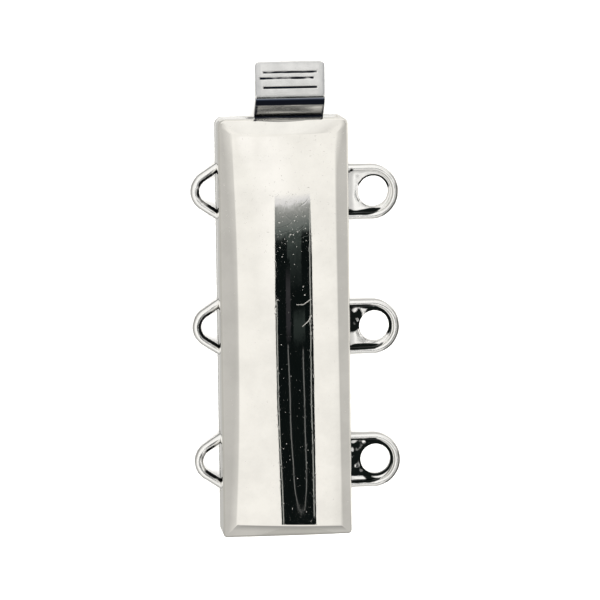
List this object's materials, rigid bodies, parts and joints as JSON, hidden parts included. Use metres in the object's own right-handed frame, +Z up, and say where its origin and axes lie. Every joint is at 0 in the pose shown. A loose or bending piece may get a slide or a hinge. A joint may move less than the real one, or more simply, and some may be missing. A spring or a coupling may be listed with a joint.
{
  "type": "multi-row box clasp",
  "caption": "Rectangular push-in box clasp with a bevelled, crowned box, a sliding tongue with a spring leaf and ribbed thumb tab, and rows of strand loops on both sides.",
  "frame": {"origin": "middle of the box's underside, on the surface that the clasp lies on", "axes": "+X across the rows towards the box's eyelets, +Y along the box towards the thumb tab, +Z up through the crowned face"},
  "size_m": [0.0122, 0.0279, 0.0033],
  "materials": {
    "cover_silver": "mirror-polished silver plate on brass, faint hazing",
    "base_silver": "polished silver plate on brass, darker in the recesses",
    "tongue_silver": "polished silver plate on brass, darker in the recesses",
    "leaf_silver": "polished silver plate on spring brass, dark lines in the grip grooves"
  },
  "bodies": {
    "box": {"box_cover": "cover_silver", "box_base": "base_silver"},
    "tongue": {"tongue": "tongue_silver"},
    "leaf": {"spring_leaf": "leaf_silver"}
  },
  "joints": [
    {"name": "tongue_slide", "type": "slide", "parent": "box", "child": "tongue", "axis": [0, 1, 0], "range_m": [0, 0.0254]},
    {"name": "tab_press", "type": "hinge", "parent": "tongue", "child": "leaf", "pos_m": [0, -0.01112, 0.00103], "axis": [-1, 0, 0], "range_deg": [0, 1.1], "stiffness_Nm_per_rad": 0.28}
  ]
}
